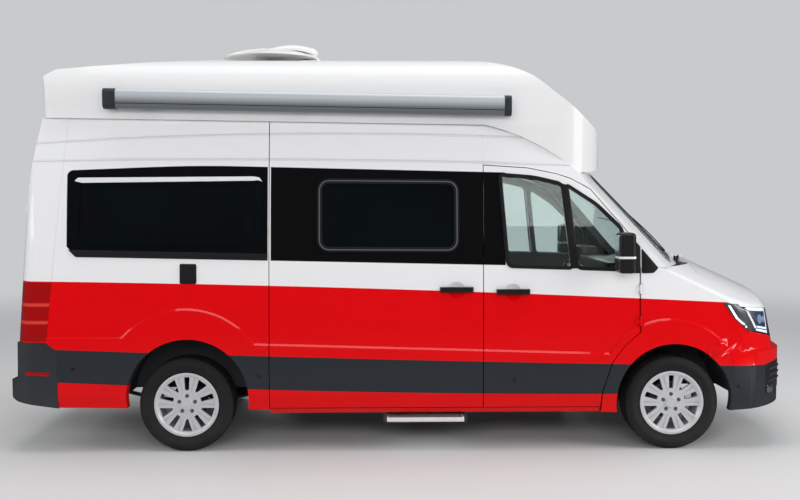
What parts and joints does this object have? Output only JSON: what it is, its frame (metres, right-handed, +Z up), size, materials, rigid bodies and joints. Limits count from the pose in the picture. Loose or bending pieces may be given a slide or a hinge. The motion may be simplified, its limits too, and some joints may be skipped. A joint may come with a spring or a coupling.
{
  "type": "high-roof camper van",
  "caption": "High-roof camper van with hollow panelled body, hinged doors and bonnet, steered front wheels, entry step, side awning and roof dish.",
  "frame": {"origin": "on the ground under the middle of the van's length and width", "axes": "+X forward, +Y to the van's left, +Z up"},
  "size_m": [5.986, 2.426, 3.12],
  "materials": {
    "body_paint": "gloss",
    "roof_white": "gloss",
    "lamp_clear": "gloss",
    "lamp_red": "gloss",
    "black_plastic": "satin",
    "dark_plastic": "matte",
    "bumper_paint": "gloss",
    "glass": "gloss",
    "dark_glass": "gloss",
    "underbody": "matte",
    "sill_paint": "gloss",
    "chassis_black": "satin",
    "cast_iron": "matte",
    "seat_fabric": "matte",
    "awning_grey": "satin",
    "white_plastic": "gloss",
    "step_alloy": "satin",
    "tyre": "matte",
    "rim_alloy": "satin"
  },
  "bodies": {
    "van_body": {"quarter_right": "body_paint", "side_wall_left": "body_paint", "sliding_door": "body_paint", "rear_portal": "body_paint", "cab_frame": "body_paint", "high_roof": "roof_white", "wing_left": "body_paint", "wing_right": "body_paint", "headlamps": "lamp_clear", "tail_lamps": "lamp_red", "grille": "black_plastic", "front_bumper": "bumper_paint", "rear_bumper": "dark_plastic", "cowl": "black_plastic", "windscreen": "glass", "side_glass": "dark_glass", "floor_pan": "underbody", "sills": "sill_paint", "chassis": "chassis_black", "wheel_liners": "dark_plastic", "front_axle": "chassis_black", "rear_axle": "chassis_black", "engine": "cast_iron", "fuel_tank": "black_plastic", "dashboard": "dark_plastic", "cab_seats": "seat_fabric", "handle_sliding": "black_plastic", "awning": "awning_grey", "awning_brackets": "dark_plastic", "dish_base": "white_plastic", "step_frame": "chassis_black"},
    "front_door_left_body": {"front_door_left": "body_paint", "door_glass_left": "glass", "mirror_left": "black_plastic", "handle_front_left": "black_plastic"},
    "front_door_right_body": {"front_door_right": "body_paint", "door_glass_right": "glass", "mirror_right": "black_plastic", "handle_front_right": "black_plastic"},
    "rear_door_left_body": {"rear_door_left": "body_paint", "rear_glass_left": "dark_glass"},
    "rear_door_right_body": {"rear_door_right": "body_paint", "rear_glass_right": "dark_glass"},
    "bonnet_body": {"bonnet": "body_paint"},
    "knuckle_left_body": {"knuckle_left": "cast_iron"},
    "knuckle_right_body": {"knuckle_right": "cast_iron"},
    "wheel_front_left": {"tyre_front_left": "tyre", "rim_front_left": "rim_alloy"},
    "wheel_front_right": {"tyre_front_right": "tyre", "rim_front_right": "rim_alloy"},
    "wheel_rear_left": {"tyre_rear_left": "tyre", "rim_rear_left": "rim_alloy"},
    "wheel_rear_right": {"tyre_rear_right": "tyre", "rim_rear_right": "rim_alloy"},
    "steering_wheel_body": {"steering_wheel": "dark_plastic"},
    "dish_yoke_body": {"dish_yoke": "white_plastic"},
    "dish_body": {"dish": "white_plastic"},
    "step_body": {"step_tread": "step_alloy"}
  },
  "joints": [
    {"name": "front_door_left_swing", "type": "hinge", "parent": "van_body", "child": "front_door_left_body", "pos_m": [1.743, 1.012, 0.88], "axis": [0, 0.0524, -0.9986], "range_deg": [0, 68]},
    {"name": "front_door_right_swing", "type": "hinge", "parent": "van_body", "child": "front_door_right_body", "pos_m": [1.743, -1.012, 0.88], "axis": [0, 0.0524, 0.9986], "range_deg": [0, 68]},
    {"name": "rear_door_left_swing", "type": "hinge", "parent": "van_body", "child": "rear_door_left_body", "pos_m": [-2.914, 0.783, 0.9], "axis": [-0.0628, 0, -0.998], "range_deg": [0, 180]},
    {"name": "rear_door_right_swing", "type": "hinge", "parent": "van_body", "child": "rear_door_right_body", "pos_m": [-2.914, -0.783, 0.9], "axis": [0.0628, 0, 0.998], "range_deg": [0, 180]},
    {"name": "bonnet_lift", "type": "hinge", "parent": "van_body", "child": "bonnet_body", "pos_m": [2.254, 0, 1.413], "axis": [0, -1, 0], "range_deg": [0, 55]},
    {"name": "steer_left", "type": "hinge", "parent": "van_body", "child": "knuckle_left_body", "pos_m": [1.997, 0.79, 0.352], "axis": [0, 0, 1], "range_deg": [-35, 35]},
    {"name": "steer_right", "type": "hinge", "parent": "van_body", "child": "knuckle_right_body", "pos_m": [1.997, -0.79, 0.352], "axis": [0, 0, 1], "range_deg": [-35, 35]},
    {"name": "roll_front_left", "type": "hinge", "parent": "knuckle_left_body", "child": "wheel_front_left", "pos_m": [1.997, 0.866, 0.352], "axis": [0, 1, 0], "continuous": true},
    {"name": "roll_front_right", "type": "hinge", "parent": "knuckle_right_body", "child": "wheel_front_right", "pos_m": [1.997, -0.866, 0.352], "axis": [0, 1, 0], "continuous": true},
    {"name": "roll_rear_left", "type": "hinge", "parent": "van_body", "child": "wheel_rear_left", "pos_m": [-1.643, 0.866, 0.352], "axis": [0, 1, 0], "continuous": true},
    {"name": "roll_rear_right", "type": "hinge", "parent": "van_body", "child": "wheel_rear_right", "pos_m": [-1.643, -0.866, 0.352], "axis": [0, 1, 0], "continuous": true},
    {"name": "steering_wheel_turn", "type": "hinge", "parent": "van_body", "child": "steering_wheel_body", "pos_m": [1.38, 0.43, 1.19], "axis": [-0.769, 0, 0.6392], "range_deg": [-525, 525]},
    {"name": "dish_turn", "type": "hinge", "parent": "van_body", "child": "dish_yoke_body", "pos_m": [-1.1, 0, 3], "axis": [0, 0, 1], "range_deg": [-170, 170]},
    {"name": "dish_lift", "type": "hinge", "parent": "dish_yoke_body", "child": "dish_body", "pos_m": [-0.707, 0, 3.021], "axis": [0, 1, 0], "range_deg": [0, 70]},
    {"name": "step_slide", "type": "slide", "parent": "van_body", "child": "step_body", "axis": [0, -1, 0], "range_m": [0, 0.25]}
  ],
  "couplings": [
    {"joint": "steer_right", "follows": "steer_left", "ratio": 1},
    {"joint": "steering_wheel_turn", "follows": "steer_left", "ratio": 15}
  ]
}
